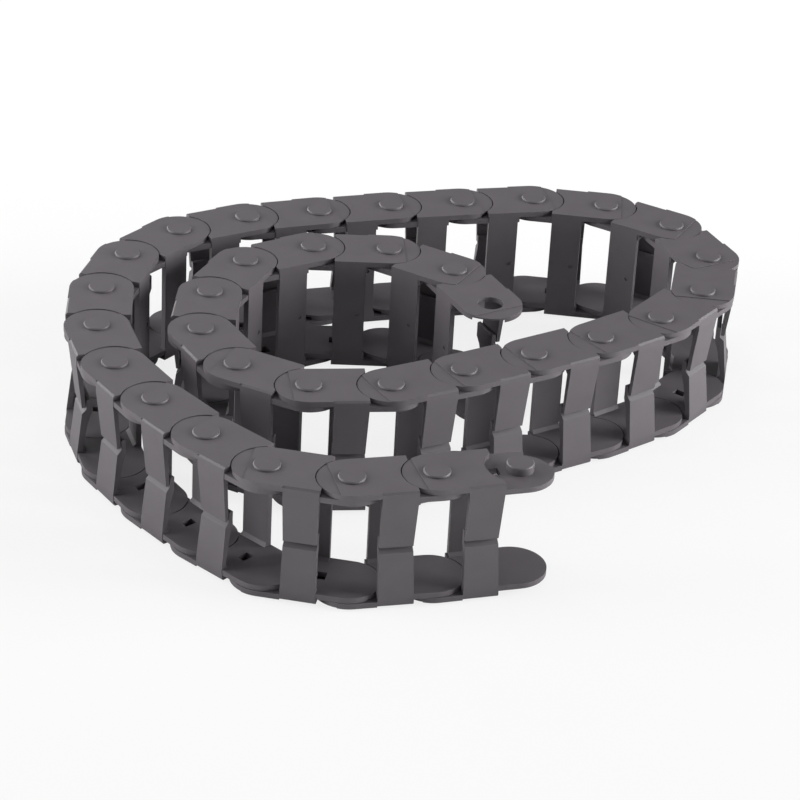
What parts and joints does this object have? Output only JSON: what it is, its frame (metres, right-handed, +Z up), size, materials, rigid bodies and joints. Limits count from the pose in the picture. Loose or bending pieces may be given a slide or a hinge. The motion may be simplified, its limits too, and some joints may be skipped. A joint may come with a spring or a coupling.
{
  "type": "cable drag chain",
  "caption": "Plastic cable carrier chain of hinged one-piece links with press-in crossbars, lying on its side in an inward spiral.",
  "frame": {"origin": "centre of the coil's bounding box in plan, on the plane that the chain rests on", "axes": "+Z up along the hinge axes, +X to the right and +Y away from someone facing the chain's free pins at the front right of the coil"},
  "size_m": [0.2648, 0.2576, 0.0488],
  "materials": {
    "nylon": "satin, glass-filled nylon"
  },
  "bodies": {
    "link_01": {"link_01": "nylon"},
    "link_02": {"link_02": "nylon"},
    "link_03": {"link_03": "nylon"},
    "link_04": {"link_04": "nylon"},
    "link_05": {"link_05": "nylon"},
    "link_06": {"link_06": "nylon"},
    "link_07": {"link_07": "nylon"},
    "link_08": {"link_08": "nylon"},
    "link_09": {"link_09": "nylon"},
    "link_10": {"link_10": "nylon"},
    "link_11": {"link_11": "nylon"},
    "link_12": {"link_12": "nylon"},
    "link_13": {"link_13": "nylon"},
    "link_14": {"link_14": "nylon"},
    "link_15": {"link_15": "nylon"},
    "link_16": {"link_16": "nylon"},
    "link_17": {"link_17": "nylon"},
    "link_18": {"link_18": "nylon"},
    "link_19": {"link_19": "nylon"},
    "link_20": {"link_20": "nylon"},
    "link_21": {"link_21": "nylon"},
    "link_22": {"link_22": "nylon"},
    "link_23": {"link_23": "nylon"},
    "link_24": {"link_24": "nylon"},
    "link_25": {"link_25": "nylon"},
    "link_26": {"link_26": "nylon"},
    "link_27": {"link_27": "nylon"},
    "link_28": {"link_28": "nylon"},
    "link_29": {"link_29": "nylon"},
    "link_30": {"link_30": "nylon"},
    "link_31": {"link_31": "nylon"},
    "link_32": {"link_32": "nylon"},
    "link_33": {"link_33": "nylon"}
  },
  "joints": [
    {"name": "hinge_01", "type": "hinge", "parent": "link_01", "child": "link_02", "pos_m": [0.01232, -0.10947, 0.0244], "axis": [0, 0, -1], "range_deg": [-3, 34]},
    {"name": "hinge_02", "type": "hinge", "parent": "link_02", "child": "link_03", "pos_m": [-0.0174, -0.11633, 0.0244], "axis": [0, 0, -1], "range_deg": [-23, 1.75]},
    {"name": "hinge_03", "type": "hinge", "parent": "link_03", "child": "link_04", "pos_m": [-0.04743, -0.11104, 0.0244], "axis": [0, 0, -1], "range_deg": [-31, 0.75]},
    {"name": "hinge_04", "type": "hinge", "parent": "link_04", "child": "link_05", "pos_m": [-0.07045, -0.09103, 0.0244], "axis": [0, 0, -1], "range_deg": [-7, 3]},
    {"name": "hinge_05", "type": "hinge", "parent": "link_05", "child": "link_06", "pos_m": [-0.09086, -0.06836, 0.0244], "axis": [0, 0, -1], "range_deg": [-7, 2.75]},
    {"name": "hinge_06", "type": "hinge", "parent": "link_06", "child": "link_07", "pos_m": [-0.10836, -0.04338, 0.0244], "axis": [0, 0, -1], "range_deg": [-16, 2.5]},
    {"name": "hinge_07", "type": "hinge", "parent": "link_07", "child": "link_08", "pos_m": [-0.11829, -0.01454, 0.0244], "axis": [0, 0, -1], "range_deg": [-16, 1.5]},
    {"name": "hinge_08", "type": "hinge", "parent": "link_08", "child": "link_09", "pos_m": [-0.11988, 0.01592, 0.0244], "axis": [0, 0, -1], "range_deg": [-16, 1]},
    {"name": "hinge_09", "type": "hinge", "parent": "link_09", "child": "link_10", "pos_m": [-0.11302, 0.04564, 0.0244], "axis": [0, 0, -1], "range_deg": [-24, 0.75]},
    {"name": "hinge_10", "type": "hinge", "parent": "link_10", "child": "link_11", "pos_m": [-0.09466, 0.07, 0.0244], "axis": [0, 0, -1], "range_deg": [-24, 0.75]},
    {"name": "hinge_11", "type": "hinge", "parent": "link_11", "child": "link_12", "pos_m": [-0.06799, 0.08478, 0.0244], "axis": [0, 0, -1], "range_deg": [-11, 0.75]},
    {"name": "hinge_12", "type": "hinge", "parent": "link_12", "child": "link_13", "pos_m": [-0.03898, 0.09421, 0.0244], "axis": [0, 0, -1], "range_deg": [-2, 0.75]},
    {"name": "hinge_13", "type": "hinge", "parent": "link_13", "child": "link_14", "pos_m": [-0.00966, 0.10261, 0.0244], "axis": [0, 0, -1], "range_deg": [-2, 0.5]},
    {"name": "hinge_14", "type": "hinge", "parent": "link_14", "child": "link_15", "pos_m": [0.01993, 0.10999, 0.0244], "axis": [0, 0, -1], "range_deg": [-2, 0.25]},
    {"name": "hinge_15", "type": "hinge", "parent": "link_15", "child": "link_16", "pos_m": [0.04976, 0.11633, 0.0244], "axis": [0, 0, -1], "range_deg": [-18, 0.25]},
    {"name": "hinge_16", "type": "hinge", "parent": "link_16", "child": "link_17", "pos_m": [0.0801, 0.11315, 0.0244], "axis": [0, 0, -1], "range_deg": [-17, 0]},
    {"name": "hinge_17", "type": "hinge", "parent": "link_17", "child": "link_18", "pos_m": [0.10651, 0.0979, 0.0244], "axis": [0, 0, -1], "range_deg": [-14, 0]},
    {"name": "hinge_18", "type": "hinge", "parent": "link_18", "child": "link_19", "pos_m": [0.11988, 0.07048, 0.0244], "axis": [0, 0, -1], "range_deg": [-13, 0]},
    {"name": "hinge_19", "type": "hinge", "parent": "link_19", "child": "link_20", "pos_m": [0.11564, 0.04028, 0.0244], "axis": [0, 0, -1], "range_deg": [-13.75, 0]},
    {"name": "hinge_20", "type": "hinge", "parent": "link_20", "child": "link_21", "pos_m": [0.09771, 0.0156, 0.0244], "axis": [0, 0, -1], "range_deg": [-13.25, 0]},
    {"name": "hinge_21", "type": "hinge", "parent": "link_21", "child": "link_22", "pos_m": [0.07367, -0.00317, 0.0244], "axis": [0, 0, -1], "range_deg": [-6, 0.25]},
    {"name": "hinge_22", "type": "hinge", "parent": "link_22", "child": "link_23", "pos_m": [0.04781, -0.01934, 0.0244], "axis": [0, 0, -1], "range_deg": [-2, 0.5]},
    {"name": "hinge_23", "type": "hinge", "parent": "link_23", "child": "link_24", "pos_m": [0.0214, -0.03459, 0.0244], "axis": [0, 0, -1], "range_deg": [-2, 1.25]},
    {"name": "hinge_24", "type": "hinge", "parent": "link_24", "child": "link_25", "pos_m": [-0.00553, -0.0489, 0.0244], "axis": [0, 0, -1], "range_deg": [-11.25, 1.5]},
    {"name": "hinge_25", "type": "hinge", "parent": "link_25", "child": "link_26", "pos_m": [-0.03581, -0.05262, 0.0244], "axis": [0, 0, -1], "range_deg": [-8.75, 0.5]},
    {"name": "hinge_26", "type": "hinge", "parent": "link_26", "child": "link_27", "pos_m": [-0.06322, -0.03925, 0.0244], "axis": [0, 0, -1], "range_deg": [-4, 0.5]},
    {"name": "hinge_27", "type": "hinge", "parent": "link_27", "child": "link_28", "pos_m": [-0.07893, -0.01311, 0.0244], "axis": [0, 0, -1], "range_deg": [-3.5, 0.5]},
    {"name": "hinge_28", "type": "hinge", "parent": "link_28", "child": "link_29", "pos_m": [-0.07786, 0.01737, 0.0244], "axis": [0, 0, -1], "range_deg": [-4.25, 1.25]},
    {"name": "hinge_29", "type": "hinge", "parent": "link_29", "child": "link_30", "pos_m": [-0.06595, 0.04545, 0.0244], "axis": [0, 0, -1], "range_deg": [-7, 0]},
    {"name": "hinge_30", "type": "hinge", "parent": "link_30", "child": "link_31", "pos_m": [-0.0398, 0.06116, 0.0244], "axis": [0, 0, -1], "range_deg": [-21.5, 8]},
    {"name": "hinge_31", "type": "hinge", "parent": "link_31", "child": "link_32", "pos_m": [-0.00932, 0.06222, 0.0244], "axis": [0, 0, -1], "range_deg": [-32, 5]},
    {"name": "hinge_32", "type": "hinge", "parent": "link_32", "child": "link_33", "pos_m": [0.01709, 0.04697, 0.0244], "axis": [0, 0, -1], "range_deg": [-32, 5]}
  ]
}
